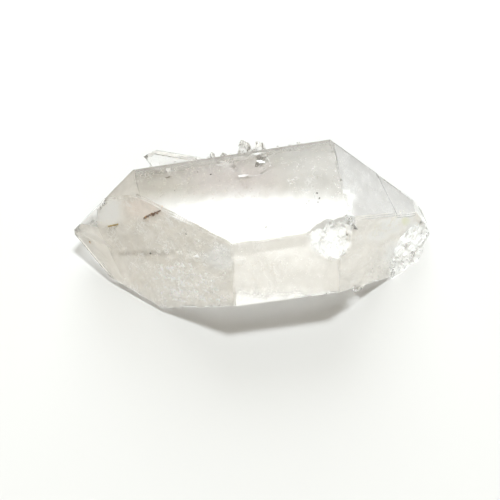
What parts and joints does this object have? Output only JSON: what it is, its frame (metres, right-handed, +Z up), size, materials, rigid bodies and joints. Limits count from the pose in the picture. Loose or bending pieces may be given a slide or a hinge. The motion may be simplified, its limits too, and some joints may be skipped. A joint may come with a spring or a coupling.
{
  "type": "quartz point",
  "caption": "Clear milky quartz crystal pointed at both ends, lying on a prism face, with small crystals grown on its back and a broken corner.",
  "frame": {"origin": "middle of the footprint box on the flat face that the crystal rests on", "axes": "+Z up from the resting face, +X along the crystal towards its blunt end, so the sharp tip is at -X; the large tip face looks to -Y"},
  "size_m": [0.1026, 0.0432, 0.0325],
  "materials": {
    "clear_quartz": "clear and slightly milky, flat natural faces with a glassy gloss, rough on the broken places"
  },
  "bodies": {
    "root": {"quartz_point": "clear_quartz"}
  },
  "joints": []
}
